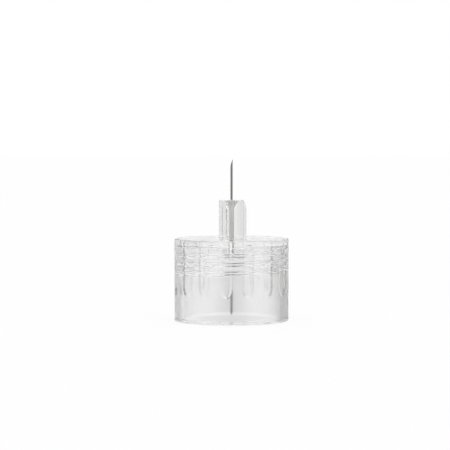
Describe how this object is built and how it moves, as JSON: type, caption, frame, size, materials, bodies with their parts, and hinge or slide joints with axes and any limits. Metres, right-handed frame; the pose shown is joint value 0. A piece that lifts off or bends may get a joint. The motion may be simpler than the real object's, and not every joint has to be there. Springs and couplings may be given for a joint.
{
  "type": "insulin pen needle",
  "caption": "Clear fluted screw-on cup with a slim ribbed tower that carries a fine steel tube, ground to a point at both ends.",
  "frame": {"origin": "centre of the skirt's rim plane, on which the needle stands", "axes": "+Z along the cannula, from the rim towards the patient's end; -Y is the front in the picture"},
  "size_m": [0.0112, 0.0112, 0.0158],
  "materials": {
    "clear_polypropylene": "clear, moulded, polished mould faces",
    "stainless_steel": "drawn and electropolished, with ground points",
    "cured_adhesive": "clear, light-cured"
  },
  "bodies": {
    "root": {"needle_hub": "clear_polypropylene", "cannula": "stainless_steel", "bonding_adhesive": "cured_adhesive"}
  },
  "joints": []
}
